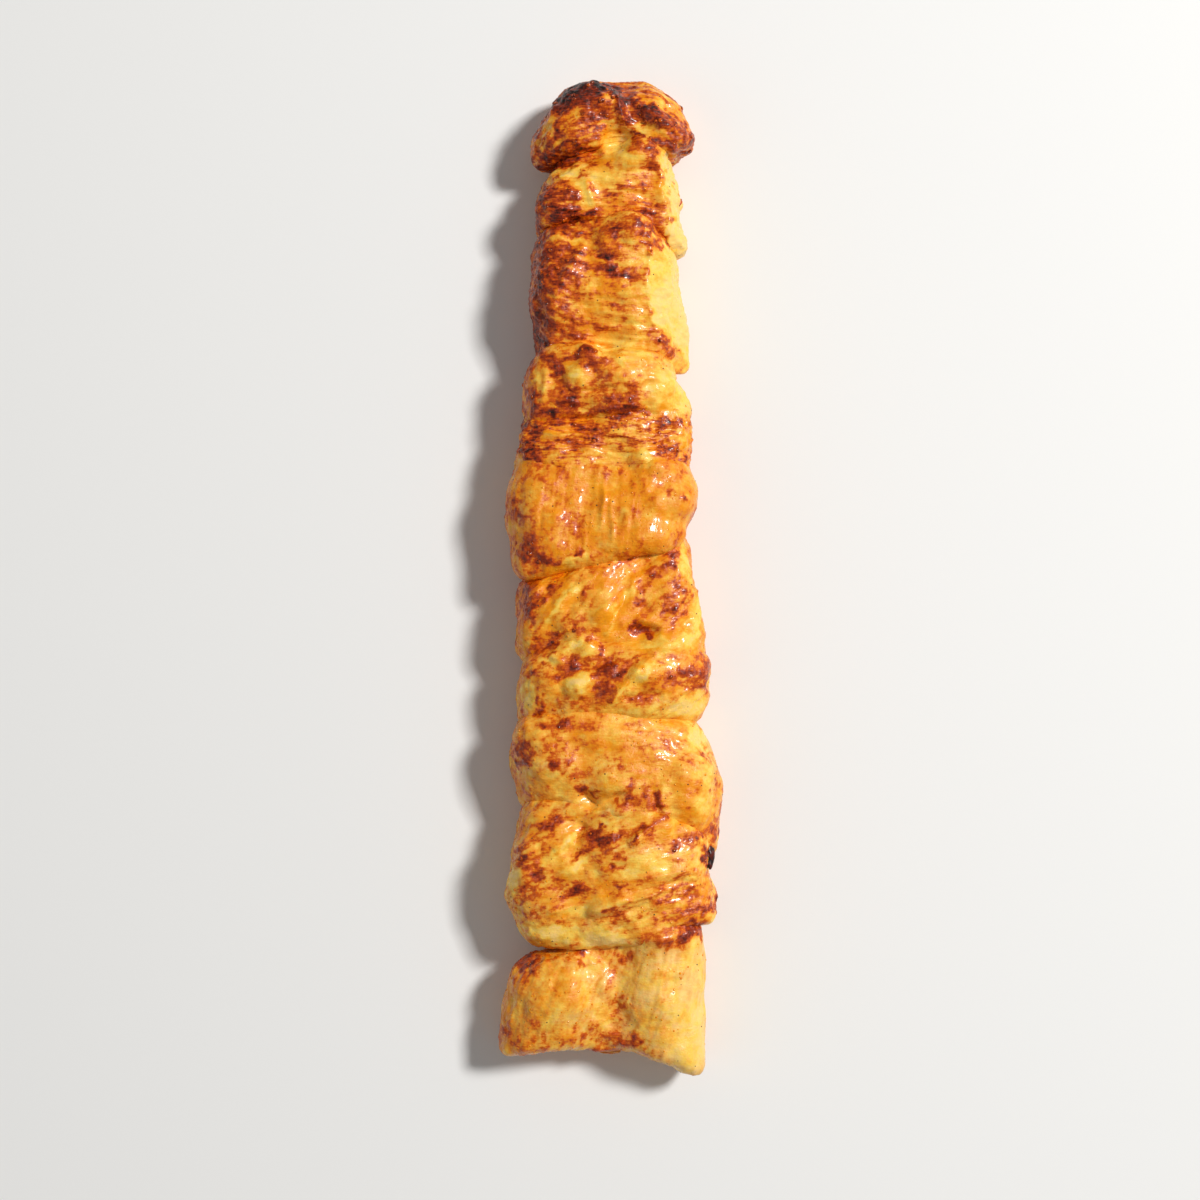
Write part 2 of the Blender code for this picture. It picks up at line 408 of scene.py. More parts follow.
            (30.5, 3, 2, 4, 0, 0.4),
            (-10.9, 14.8, 4, 2, 0, 0.18),
            (-14.8, 7.9, 3, 2.4, 0, 0.15),
        ),
        pales_and_painted_light=(
            (-25.2, 5.7, 2.4, 2.4, 0, 0.1),
            (-11.9, -14.4, 7.5, 1.2, 16, 0.55),
            (29.5, 10.9, 2.4, 4, 0, 0.25),
            (-28.6, -4.9, 1.4, 6, 0, 0.25),
            (3.9, 10.9, 2, 6, 0, 0.08),
            (20.7, -1, 6, 3, 12, 0.1),
        ),
    ),
    Piece(
        "chunk_07",
        "golden_meat",
        fibres=(50, 48, 34),
        tint=(0.8, 0.82, 0.7),
        browning=(0.3, 0.18, 0.26),
        grain=0.8,
        press=(3.6, 3.6, 4),
        folds=(
            (-11.5, 3.3, -22.8, -10, 2, 1.28),
            (8.8, 6.7, 2.2, -5.1, 2.2, 1.36),
            (2.2, -5.1, -1.3, -13.5, 2.1, 1.03),
            (-19.8, -18.9, -8.5, -13.5, 1.8, 1.12),
            (-8.5, -13.5, -5, -15.9, 1.6, 0.86),
            (7.8, -7.1, 16.7, -9, 1.6, 1.12),
            (6.8, -10.5, 16.7, -12, 2, -2.22),
            (-15.9, 8.2, -26.8, -4.6, 2.3, -1),
            (-9.3, 1.8, -20.6, -11.5, 1.3, -1),
            (6.2, 2.3, -0.6, -9.2, 1.5, -1.9),
        ),
        bosses=(
            (-3.1, -6.1, 4.4, 3.4, 30, 1.25),
            (21.6, -15.5, 9, 4, 8, 1.88),
            (-25.8, -1.6, 4, 8, 24, 1.25),
        ),
        sears_and_painted_shade=(
            (-26.8, -0.7, 4, 8, 26, 0.48),
            (-18.9, 4.8, 3, 2.4, 0, 0.34),
            (7.3, 13.7, 6.5, 3.6, 18, 0.3),
            (-8.6, 0.5, 1.6, 2.4, 0, 0.34),
            (21, 13.2, 2.2, 3.2, 0, 0.55),
            (11.7, 7.7, 2.6, 1.4, 30, 0.34),
            # Partly painted shade: the pocket under the lip is darkened for the shade in it as well as for
            # its dark underside.
            (11.7, -11.1, 5.4, 1.7, -6, 0.85),
            (20.6, -4, 5.8, 3.6, 32, 0.42),
            (11.2, -2.1, 2.6, 3.8, 30, 0.3),
            (-12, -8.5, 2.2, 2.8, 30, 0.38),
            (-19.1, -14.1, 2.8, 2.6, 0, 0.55),
            (-3.6, -11.5, 2.6, 1.1, 0, 0.45),
            (-24.8, -15.9, 3.2, 2.4, 0, 0.24),
            (-6, -17.4, 4, 2, -40, 0.3),
            (23.1, 4.3, 1.8, 7, -10, 0.3),
        ),
        pales_and_painted_light=(
            (-17.1, -3.4, 9.5, 1.5, 50, 0.55),
            (5.6, 0.8, 8, 1.7, 61, 0.45),
            (0.5, -9.5, 5.5, 1.9, 68, 0.35),
            (-4.1, -6.1, 4.4, 2.8, 20, 0.25),
            (-12.9, -16, 7.2, 1.6, 26, 0.5),
            (18.6, -15.9, 13, 3.6, 0, 0.55),
            (27.5, -8.5, 2.4, 8, -12, 0.4),
            (24.4, 11.2, 1.2, 8, 0, 0.5),
            (-27.7, -12.5, 2, 4, 0, 0.15),
        ),
    ),
    Piece(
        "chunk_08",
        "golden_meat",
        fibres=(30, 34, 20),
        tint=(0.66, 0.6, 0.58),
        browning=(0.24, 0.26, 0.24),
        grain=0.7,
        press=(4, 4, 3),
        folds=(
            (-1.5, -6.2, 5.1, 1.9, 1.7, 1.88),
            (5.1, 1.9, 8.9, 5.1, 1.5, 1.25),
            (-14.8, 5.6, 1, 9.1, 2, -1.38),
            (3, -4.7, 16.8, -2.3, 1.8, -1.5),
            (-22.6, 10, -15.7, 8.1, 1.4, 1.25),
        ),
        bosses=(
            (-11.3, 0.5, 4.8, 4.2, 20, 2.38),
            (10.8, 4.4, 6, 3.6, 15, 1.88),
            (-8.4, 11.5, 4.4, 3.4, 0, 1.75),
            (-23.6, -0.3, 4, 5, 0, 0.88),
            (28.6, 4.6, 4, 4, 0, 1.25),
        ),
        laps=(
            (31.5, 7.6, 3, 2.6, 1.8, 0, 1),
        ),
        sears_and_painted_shade=(
            (-13.8, 6.2, 3.4, 2.6, 20, 0.58),
            (-3.4, 7.2, 4.6, 3.8, 0, 0.62),
            (0, 3.6, 3.6, 3, -30, 0.48),
            (7.4, 8.2, 5.4, 1.8, 32, 0.6),
            (-3.9, -2.3, 3, 3, 40, 0.48),
            (9.9, -4.2, 6.8, 2.2, 12, 0.5),
            (23.6, 4.2, 4.2, 2, -6, 0.62),
            (19.7, 1.7, 2, 3, 20, 0.38),
            (32.5, 7.6, 2.4, 2.4, 0, 0.45),
            (29.1, 1.2, 2.2, 4.2, 24, 0.42),
            (-25, -5.8, 2.6, 1.9, -10, 0.52),
            (-18.2, 3.1, 3, 3, 0, 0.3),
            (-27.1, 3.6, 1.6, 3.2, 0, 0.42),
            (-13.8, -6.2, 6, 1.8, 0, 0.18),
            (-21.2, 7.1, 3, 2, 0, 0.28),
        ),
        pales_and_painted_light=(
            (-11.1, 0.7, 4.2, 3.6, 20, 0.7),
            (11.3, 4.2, 5, 2.6, 18, 0.6),
            (2, -2.1, 6.4, 1.3, 52, 0.55),
            (-8.4, 11.3, 3.6, 2.6, 0, 0.55),
            (-21.6, 8.8, 4.6, 1.5, -18, 0.4),
            (-28.1, -4.2, 1.7, 6, 0, 0.5),
            (25.6, -6.2, 8, 4.4, 14, 0.5),
            (8.9, -9.2, 10, 1.7, 8, 0.25),
        ),
    ),
    Piece(
        "chunk_09",
        "golden_meat",
        fibres=(14, 10, -6),
        tint=(0.64, 0.64, 0.34),
        browning=(0.24, 0.16, 0.14),
        grain=0.55,
        press=(2.5, 3.6, 4.5),
        folds=(
            (-12.6, -1.7, -6.7, -6.6, 1.9, -2.38),
            (-6.7, -6.6, 3.6, -1.7, 1.9, -2.12),
            (13.2, -0.2, 13.2, -8.1, 1.2, -1.12),
            (-9.7, -8.1, 8.1, -7.6, 1.6, 1),
            (15, -1.7, 15.5, -10.6, 1.5, 1),
        ),
        bosses=(
            (-3.7, 0.7, 7, 4, 0, 1.12),
            (-20.5, 10.1, 8, 7, 0, 1),
            (25.8, 1.2, 6, 12, 0, 1.12),
            (-1.8, 16, 12, 5, 0, 0.75),
        ),
        sears_and_painted_shade=(
            (-30.3, 11.6, 2.6, 5, -8, 0.6),
            (-22, 13, 1.7, 2.4, 0, 0.38),
            (-19.5, 8.1, 4, 2.8, -30, 0.58),
            (-18.3, 21.1, 3, 1.9, 0, 0.6),
            (-24.9, 19.9, 4, 1.6, 0, 0.38),
            (-11.6, -1.9, 2.4, 2, -20, 0.85),
            (-7.3, -2.1, 1.4, 0.9, 0, 0.6),
            (5.1, -0.5, 2.6, 2.2, 20, 0.72),
            (1.2, -4.7, 4, 1.6, 24, 0.5),
            (7.1, -5.2, 5.4, 3, 0, 0.28),
            (13.2, -3.7, 1.5, 4.8, 0, 0.48),
            (21.9, -6.5, 2.6, 1.4, 0, 0.34),
            (1.8, 7.1, 2.2, 1.5, -20, 0.36),
            (-9.7, 19.5, 3, 1.5, -14, 0.26),
            (10, 15, 6, 3, 0, 0.12),
            (30.7, 10.3, 1.2, 1.6, 0, 0.62),
            (31.7, 2.2, 1.6, 5, 0, 0.24),
            (33.2, -14.5, 1.6, 2.2, 0, 0.9),
            (-28.4, -0.7, 3, 4, 0, 0.22),
            (21.9, -16.3, 5, 1.6, 0, 0.42),
        ),
        pales_and_painted_light=(
            (-1.8, 1.7, 6, 2.8, 14, 0.22),
            (-1.3, 15, 3, 5, -14, 0.14),
            (1.7, 12.1, 2, 1.6, 0, 0.2),
            (-18.5, 0.7, 6, 3.4, -20, 0.16),
            (28.7, -6.6, 4, 6, 0, 0.35),
            (26.8, 16, 2.4, 6, 30, 0.5),
            (-6.7, 7.1, 3, 2, 0, 0.14),
            (30.7, 4.2, 2, 7, -8, 0.2),
        ),
    ),
    Piece(
        "chunk_10",
        "golden_meat",
        fibres=(26, 18, 12),
        tint=(0.5, 0.56, 0.7),
        browning=(0.2, 0.22, 0.26),
        grain=0.9,
        press=(0.3, 1.6, 0.8),
        folds=(
            (-20.1, 8, -12.2, 13.5, 1.9, 1.88),
            (-9.7, 17.9, -13.2, 11, 2.2, -2.12),
            (5.5, 10.5, 14.4, 17.4, 1.5, 1.88),
            (-8.8, -12.6, 5.5, -7.2, 1.4, 1.25),
            (5.5, -7.2, 17.3, -3.8, 1.3, 1.25),
            (-4.3, -14.1, 9.5, -9.2, 1.7, -1.38),
            (7.5, -0.8, 27.2, 2.1, 1.2, 0.88),
            (5.5, -4.3, 29.2, -1.3, 1.1, -0.88),
            (-22.1, -11.7, -9.3, -8.7, 1.3, 1),
        ),
        bosses=(
            (-29, 5.1, 4, 7, 0, 1.5),
            (-14.2, 3.1, 5.5, 3.6, 15, 1.25),
            (-1.4, -9.7, 7, 3.5, 20, 1.25),
            (9.5, 7.1, 8, 5, 0, 0.88),
            (-17.1, 14.9, 5, 3, 10, 1.12),
        ),
        laps=(
            (33.1, -15.6, 3.6, 4, 1.6, -1.6, 1.6),
        ),
        sears_and_painted_shade=(
            (-24, 17.1, 4, 2, -10, 0.62),
            (-17.1, 18.9, 4, 1.2, 8, 0.32),
            (-22.5, 11.5, 2.6, 1.7, 0, 0.3),
            (-5.5, 14.5, 2.8, 2.2, -10, 1.05),
            (-6.3, 14, 5.4, 3.4, -14, 0.35),
            (-1.4, 10.5, 4, 2.4, -24, 0.4),
            (10, 14, 5.8, 1.5, 40, 0.62),
            (2, 6.1, 2, 4, -14, 0.48),
            (-10.2, 8, 5, 1.8, 20, 0.38),
            (20.3, 10.6, 3, 1.8, 0, 0.55),
            (26.2, 13.2, 2.6, 1.2, 0, 0.4),
            (-0.2, 2.3, 1.6, 1.2, 0, 0.85),
            (-28, 4.3, 4.8, 3.2, -34, 0.55),
            (-24.6, 0.8, 2.6, 2.4, -30, 0.55),
            (-13.2, -1.2, 2.4, 1.5, 0, 0.68),
            (-27, -5, 3.6, 2.3, 0, 0.4),
            (-12.2, -4.2, 8.6, 2.2, -4, 0.4),
            (4.5, -3.2, 4, 1.7, 14, 0.34),
            (15.4, -6.7, 6, 2, 14, 0.26),
            (1.6, -12.4, 4.4, 2.2, 5, 0.6),
            (30.6, -10.1, 6, 2.6, 10, 0.5),
            (18.3, -13.8, 5, 1.8, 24, 0.45),
            (31.7, 6.1, 1.7, 4.2, 0, 1),
            (23.3, -3.8, 7, 1.5, 8, 0.22),
            (-24, -11.2, 4, 1.6, 30, 0.18),
        ),
        pales_and_painted_light=(
            (-16.1, 10.6, 5, 1.6, 36, 0.6),
            (-13.2, 3.3, 4.6, 2.7, 18, 0.5),
            (-3.3, 17.1, 6, 1.4, 10, 0.25),
            (7.5, 4.1, 6, 3, 10, 0.22),
            (17.3, 4.1, 6, 2.4, 10, 0.15),
            (-14.2, -10.2, 6, 2.6, 26, 0.28),
            (-20.1, -18.4, 11, 2.4, 0, 0.6),
            (-2.4, -20.5, 8, 2.6, 0, 0.5),
            (32.6, -15.6, 3.2, 2.4, -30, 0.45),
            (-31.9, -0.8, 2.2, 8, -10, 0.45),
            (8.5, -14.6, 4, 2, 10, 0.3),
            (28.2, -0.8, 4, 1.5, 0, 0.12),
        ),
    ),
    Piece(
        "chunk_11_saddle_end",
        "pale_meat",
        fibres=(70, 64, 84),
        tint=(0.74, 0.34, 0.14),
        browning=(0.15, 0.1, 0.03),
        grain=0.6,
        press=(0, 0, 0),
        folds=(
            (-24.3, 10.5, -16.9, 13.9, 1.6, 1.62),
            (-16.9, 13.9, -5.5, 14.2, 1.6, 1.75),
            (-5.5, 14.2, 0.2, 11, 1.6, 1.5),
            (-16.9, 16.6, -5, 17.2, 1.4, -1.25),
            (0.2, 11, 0, -0.4, 2.4, 1.25),
            (3.9, 10.5, 4.9, -6.4, 3, -1),
            (10.9, 20.4, 30.7, 24.4, 2.2, 1.5),
        ),
        bosses=(
            (-13.9, 2.5, 12, 9, 60, 1.25),
            (21.8, -0.4, 9, 14, 0, 1.12),
            (-9.9, 18.4, 6, 2.6, 0, 1.12),
            (5.4, -6.4, 5, 6, 0, -1.25),
        ),
        laps=(
            (20, 22, 17, 8, 0, 5.5, 3.4),
            (4, 19, 8, 6, 0, 3.5, 1.6),
            (-8.9, 18.4, 7, 4, 0, 2, 0.6),
            (0, -17.3, 5, 3, 0, -2, -1),
        ),
        sears_and_painted_shade=(
            # Painted shade: a browner band down the valley between the two pillows, where shade falls.
            (4, -1, 3.5, 12, 0, 0.34),
            (-2, -14, 14, 4.5, 8, 0.3),
            (-24, -12, 6, 9, 0, 0.14),
            (-24.3, 13, 4.6, 2.4, 26, 0.78),
            (-27.3, 8.5, 2, 4, 0, 0.5),
            (-6.6, 18.6, 2, 1.9, 0, 0.62),
            (-12.9, 18, 4, 1, 0, 0.28),
            (-8, 13.2, 9, 1.2, 0, 0.42),
            # A darker line along the lower edge of the lapped flap, partly the meat's own colour and partly
            # painted shade under the flap.
            (6.9, 15.8, 7.4, 1.5, 0, 0.52),
            (26.7, 22, 8, 3, 14, 0.62),
            (31.2, 24.9, 3, 3.4, 0, 0.55),
            (17.8, 20.9, 4, 1.5, 8, 0.35),
            (10.8, -11.5, 1.7, 3.2, 16, 0.68),
            (6.3, -13.1, 1.8, 1.3, 0, 0.5),
            (16.4, -16.5, 2.4, 1.2, -40, 0.38),
            (-6, -10.4, 7, 2.2, 14, 0.26),
            (-31.4, -12.3, 3, 6.4, 16, 0.34),
            (-29.4, 0.6, 1.7, 7, -10, 0.3),
            (-21.8, -19.3, 8, 1.6, -6, 0.24),
            (18.8, 9.5, 4, 3, 30, 0.16),
            (-14.9, 4.5, 8, 4, 50, 0.1),
            (2, -18.3, 3.6, 1.6, 0, 0.45),
            (5.9, -1.4, 2, 3, 0, 0.16),
        ),
        pales_and_painted_light=(
            (-13.9, -1.4, 5, 6, 0, 0.06),
            (-10.9, -16.3, 12, 1.8, 8, 0.14),
        ),
    ),
)


# Noise, and the shapes that a mark or a fold is made of


def lattice_value(ix, iy, iz, seed):
    """A number from -1 to 1 for each whole point, which looks random and is always the same."""
    mixed = (ix * 374761393 + iy * 668265263 + iz * 1440662683 + seed * 974634777) & 0xFFFFFFFF
    mixed = ((mixed ^ (mixed >> 13)) * 1274126177) & 0xFFFFFFFF
    mixed = (mixed ^ (mixed >> 16)) & 0xFFFFFF
    return mixed / 0x7FFFFF - 1.0


def noise(points, size, seed):
    """Smooth noise from -1 to 1, whose swells are about size apart."""
    place = points / size + 0.37 * seed
    whole = np.floor(place).astype(np.int64)
    part = place - whole
    fade = part * part * part * (part * (part * 6 - 15) + 10)
    total = np.zeros(len(points))
    for corner in range(8):
        step = np.array([corner & 1, corner >> 1 & 1, corner >> 2 & 1])
        weight = np.prod(np.where(step == 1, fade, 1 - fade), axis=1)
        total += weight * lattice_value(*(whole + step).T, seed)
    return total


def fractal(points, size, seed, octaves=3):
    """Noise with smaller noise on it, from about -1 to 1."""
    total = sum(0.5**step * noise(points, size / 2**step, seed + step) for step in range(octaves))
    return total * 1.25


def smoothstep(low, high, value):
    share = np.clip((value - low) / (high - low), 0.0, 1.0)
    return share * share * (3 - 2 * share)


def patch(points, x, y, half_length, half_width, turn):
    """1 in the middle of an oval patch, falling to 0 at its edge."""
    angle = math.radians(turn)
    dx, dy = points[:, 0] - x, points[:, 1] - y
    along = (dx * math.cos(angle) + dy * math.sin(angle)) / half_length
    across = (dy * math.cos(angle) - dx * math.sin(angle)) / half_width
    return np.clip(1.0 - (along**2 + across**2) / OVAL_REACH, 0.0, 1.0) ** 1.5


def inside(points, corners, feather):
    """1 within an outline of straight sides, falling to 0 over a feather-wide edge."""
    x, y = points[:, 0], points[:, 1]
    nearest = np.full(len(points), np.inf)
    within = np.zeros(len(points), bool)
    for (x1, y1), (x2, y2) in zip(corners, corners[1:] + corners[:1]):
        run_x, run_y = x2 - x1, y2 - y1
        share = np.clip(((x - x1) * run_x + (y - y1) * run_y) / (run_x**2 + run_y**2), 0.0, 1.0)
        nearest = np.minimum(nearest, np.hypot(x - x1 - share * run_x, y - y1 - share * run_y))
        if y1 != y2:
            crosses = ((y1 > y) != (y2 > y)) & (x < x1 + (y - y1) / (y2 - y1) * run_x)
            within ^= crosses
    return smoothstep(-feather / 2, feather / 2, np.where(within, nearest, -nearest))


def crest(points, x1, y1, x2, y2, width):
    """1 along the line between two points, falling to 0 at its sides and tapering at its ends."""
    run = np.array([x2 - x1, y2 - y1])
    offset = points[:, :2] - np.array([x1, y1])
    share = np.clip(offset @ run / (run @ run), 0.0, 1.0)
    distance = np.linalg.norm(offset - share[:, None] * run, axis=1)
    taper = 1.0 - 0.75 * np.abs(2 * share - 1) ** 3
    return np.exp(-((distance / width) ** 1.5)) * taper


def across_row(triple, x):
    return np.interp(x, (-HALF_WIDTH, 0.0, HALF_WIDTH), triple)


def running_together(field, points):
    """The chunks' left, middle and right values of a field, running into each other over the seams."""
    knots = []
    for piece in PIECES:
        low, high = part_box(piece.node)
        values = getattr(piece, field)
        knots += [(low.y / MM + SEAM_BLEND, values), (high.y / MM - SEAM_BLEND, values)]
    knots.sort()
    places = [place for place, _ in knots]
    left, middle, right = (
        np.interp(points[:, 1], places, [triple[side] for _, triple in knots]) for side in range(3)
    )
    share = np.clip(points[:, 0] / HALF_WIDTH, -1.0, 1.0)
    return middle + np.maximum(share, 0) * (right - middle) + np.maximum(-share, 0) * (left - middle)


def along_fibres(points, piece, stretch):
    """The points, drawn together along the fibres, so that noise read there runs in streaks."""
    middle_x, middle_y = middle_of(piece)
    x, y = points[:, 0] - middle_x, points[:, 1] - middle_y
    angle = np.radians(across_row(piece.fibres, x))
    along = x * np.cos(angle) + y * np.sin(angle)
    across = y * np.cos(angle) - x * np.sin(angle)
    return np.stack([along / stretch, across, points[:, 2]], axis=1)


# A chunk's mesh


def fine_copy(node):
    """The node's solid as an even, smooth mesh, fine enough to carry fibres."""
    mesh = node.data.copy()
    build = bmesh.new()
    build.from_mesh(mesh)
    bmesh.ops.remove_doubles(build, verts=build.verts, dist=0.01 * MM)
    build.to_mesh(mesh)
    build.free()
    rough = bpy.data.objects.new("rough", mesh)
    bpy.context.scene.collection.objects.link(rough)
    round_off = rough.modifiers.new("round_off", "SUBSURF")
    round_off.levels = round_off.render_levels = 2
    even_out = rough.modifiers.new("even_out", "REMESH")
    even_out.mode = "VOXEL"
    even_out.voxel_size = FINE_MESH * MM
    settle = rough.modifiers.new("settle", "SMOOTH")
    settle.factor = 0.5
    settle.iterations = 6
    bpy.context.view_layer.update()
    graph = bpy.context.evaluated_depsgraph_get()
    fine = bpy.data.meshes.new_from_object(rough.evaluated_get(graph))
    bpy.data.objects.remove(rough)
    fine.materials.clear()
    return fine


def places_of(mesh):
    values = np.empty(len(mesh.vertices) * 3, np.float32)
    mesh.vertices.foreach_get("co", values)
    return values.reshape(-1, 3).astype(float) / MM


def put_places(mesh, points):
    mesh.vertices.foreach_set("co", (points * MM).astype(np.float32).ravel())
    mesh.update()


def normals_of(mesh):
    values = np.empty(len(mesh.vertices) * 3, np.float32)
    mesh.vertex_normals.foreach_get("vector", values)
    return values.reshape(-1, 3).astype(float)


def upper_share(points):
    """0 on the underside, and 1 from the lower flank upwards."""
    return smoothstep(*TOP_HEIGHTS, points[:, 2])


def middle_of(piece):
    """The middle of the chunk's box in the frame, along X and Y."""
    low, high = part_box(piece.node)
    return (low.x + high.x) / 2 / MM, (low.y + high.y) / 2 / MM


def press_and_lap(mesh, piece):
    """Pushes the tops of the chunk's ends into its neighbours, and pulls its laps over them."""
    plain = places_of(mesh)
    facing = normals_of(mesh)[:, 1]
    index = PIECES.index(piece)
    to_head = across_row(PIECES[index - 1].press, plain[:, 0]) if index else 0.0
    to_tail = across_row(piece.press, plain[:, 0])
    push = to_head * np.maximum(facing, 0) - to_tail * np.maximum(-facing, 0)
    push *= smoothstep(*PRESS_HEIGHTS, plain[:, 2])
    moved = plain + np.stack([np.zeros(len(plain)), push, 0.3 * np.abs(push)], axis=1)
    middle_x, middle_y = middle_of(piece)
    for x, y, half_length, half_width, *pull in piece.laps:
        reach = patch(plain, middle_x + x, middle_y + y, half_length, half_width, 0.0)
        reach *= smoothstep(*LAP_HEIGHTS, plain[:, 2])
        moved += reach[:, None] * np.array(pull)
    for x, y, half_length, half_width, *pull in piece.tapers:
        reach = patch(plain, middle_x + x, middle_y + y, half_length, half_width, 0.0)
        moved += reach[:, None] * np.array(pull)
    put_places(mesh, moved)


def lumpiness(points):
    """The uneven relief that heat gives the meat, from about -1 to 1. The sear follows it."""
    return 0.6 * fractal(points, 4.2, 11, 2) + 0.5 * fractal(points, 2.1, 14, 2)


def marks_near(points, field):
    """The folds, bosses, and browner or paler marks that reach these points: a mark doesn't stop at a seam.
    """
    lowest, highest = points[:, 1].min() - MARK_REACH, points[:, 1].max() + MARK_REACH
    for piece in PIECES:
        x, y = middle_of(piece)
        for mark in getattr(piece, field):
            moved = [mark[0] + x, mark[1] + y, *mark[2:]]
            if field == "folds":
                moved[2:4] = mark[2] + x, mark[3] + y
            if lowest < moved[1] < highest:
                yield moved


def browning_and_painted_shading_of(mesh, piece):
    """The browning of each point: the side's share and the single marks, mottled where the heat caught. Some
    faces and marks are painted light, made paler, and some painted shade, made darker.
    """
    points = places_of(mesh)
    upper = upper_share(points)
    jitter = np.stack([fractal(points, 3.2, 20 + axis, 4) for axis in range(3)], axis=1)
    where = points + 1.6 * jitter
    level = running_together("browning", points + 2.0 * jitter) + 0.07 * fractal(points, 7.0, 40, 3)
    untouched = np.ones(len(points))
    for x, y, half_length, half_width, turn, strength in marks_near(points, "sears_and_painted_shade"):
        core = patch(where, x, y, half_length, half_width, turn)
        veil = patch(where, x, y, 1.9 * half_length + 1.0, 2.1 * half_width + 1.0, turn)
        untouched *= 1 - min(strength, 1.0) * (0.60 * core + 0.12 * veil)
    level += 0.95 * (1 - untouched)
    for *oval, strength in marks_near(points, "pales_and_painted_light"):
        level -= strength * patch(where, *oval)
    middle_x, middle_y = middle_of(piece)
    # Painted light and shade: faces turned to the light are made paler, and a face turned away darker.
    for strength, *corners in piece.painted_light_and_shade_faces:
        outline = [(middle_x + x, middle_y + y) for x, y in corners]
        level -= strength * inside(points + 2.4 * jitter, outline, 2.0)
    level = level * upper + UNDERSIDE_BROWNING * (1 - upper)
    streaks = fractal(along_fibres(points + 0.4 * jitter, piece, 6.0), 1.5, 50, 3)
    flecks = 0.5 * fractal(points, 1.6, 30, 3) + 0.4 * lumpiness(points)
    caught = 0.07 + 0.20 * smoothstep(-0.08, 0.40, level)
    brown = level + caught * (0.8 * min(piece.grain, 1.1) * streaks + flecks)
    brown = np.where(brown > SCORCH, SCORCH + (brown - SCORCH) * 0.5, brown)
    return np.clip(brown, -0.4, 1.05)


def shape_chunk(mesh, piece, brown):
    """Folds and lumps, fibres on the flesh, and a blistered crust where it is seared."""
    points = places_of(mesh)
    upper = upper_share(points)
    wander = np.stack([noise(points, 5.0, axis) for axis in range(3)], axis=1)
    where = points + 0.9 * wander
    crust = smoothstep(*CRUST, brown) * upper
    height = SWELL + 0.8 * fractal(points, 12.0, 5, 2) + 0.35 * noise(points, 6.0, 8) * upper
    height += (0.18 + 0.3 * crust) * lumpiness(points)
    for *line, width, rise in marks_near(points, "folds"):
        height += rise * crest(where, *line, width) * upper
    for *oval, rise in marks_near(points, "bosses"):
        height += rise * patch(where, *oval) * upper
    bundles = 1 - 2.2 * np.abs(fractal(along_fibres(points + 0.5 * wander, piece, 6.0), 3.2, 70, 2))
    strands = fractal(along_fibres(points, piece, 7.0), 1.2, 73, 2)
    height += piece.grain * (0.20 * bundles + 0.14 * strands) * (1 - 0.5 * crust)
    height += 0.34 * (np.abs(fractal(points, 1.7, 80, 2)) - 0.3) * crust
    points += normals_of(mesh) * height[:, None]
    points[:, 2] = np.maximum(points[:, 2], GROUND_GAP)
    put_places(mesh, points)


def keep_attribute(mesh, name, values):
    attribute = mesh.attributes.new(name, "FLOAT", "POINT")
    attribute.data.foreach_set("value", values.astype(np.float32))


def add_piece(name, mesh, slot):
    obj = bpy.data.objects.new(name, mesh)
    bpy.context.scene.collection.objects.link(obj)
    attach(obj, "root")
    return obj


def make_chunk(piece):
    mesh = fine_copy(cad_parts[piece.node])
    mesh.name = piece.node + "_meat"
    press_and_lap(mesh, piece)
    brown = browning_and_painted_shading_of(mesh, piece)
    shape_chunk(mesh, piece, brown)
    points = places_of(mesh)
    keep_attribute(mesh, "brown", brown)
    # Places made paler lean to cream, the spared ones and the painted light alike.
    tint = running_together("tint", points) + 0.25 * fractal(points, 7.0, 90) + 1.6 * np.minimum(brown, 0)
    keep_attribute(mesh, "tint", np.clip(tint, 0, 1))
    mesh.shade_smooth()
    mesh.materials.append(meat_material(piece))
    obj = add_piece(piece.node + "_meat", mesh, piece.slot)
    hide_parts(piece.node)
    return obj


# Finishes


def linear(colour):
    """A colour from 0 to 255 as the shader takes it."""

    def channel(value):
        share = value / 255
        return share / 12.92 if share <= 0.04045 else ((share + 0.055) / 1.055) ** 2.4

    return (*map(channel, colour), 1.0)


def new_material(name):
    material = bpy.data.materials.new(name)
    material.use_nodes = True
    return material, material.node_tree, material.node_tree.nodes["Principled BSDF"]


def add_node(tree, kind, **settings):
    """A node whose settings are given by name, and whose inputs by inputs={name or number: value}."""
    node = tree.nodes.new(kind)
    inputs = settings.pop("inputs", {})
    for name, value in settings.items():
        setattr(node, name, value)
    for name, value in inputs.items():
        if isinstance(value, bpy.types.NodeSocket):
            tree.links.new(value, node.inputs[name])
        else:
            node.inputs[name].default_value = value
    return node


def attribute_value(tree, name):
    return add_node(tree, "ShaderNodeAttribute", attribute_name=name).outputs["Fac"]


def noise_value(tree, place, size, detail=3.0):
    """Shader noise whose swells are about size millimetres apart."""
    inputs = {"Vector": place, "Scale": 1 / (size * MM), "Detail": detail, "Roughness": 0.6}
    return add_node(tree, "ShaderNodeTexNoise", inputs=inputs).outputs["Fac"]


def scaled(tree, value, low, high, to_low, to_high):
    inputs = {"Value": value, "From Min": low, "From Max": high, "To Min": to_low, "To Max": to_high}
    return add_node(tree, "ShaderNodeMapRange", inputs=inputs).outputs["Result"]


def calculated(tree, operation, first, second):
    return add_node(tree, "ShaderNodeMath", operation=operation, inputs={0: first, 1: second}).outputs[0]


def plus(tree, first, second):
    return calculated(tree, "ADD", first, second)


def times(tree, first, second):
    return calculated(tree, "MULTIPLY", first, second)


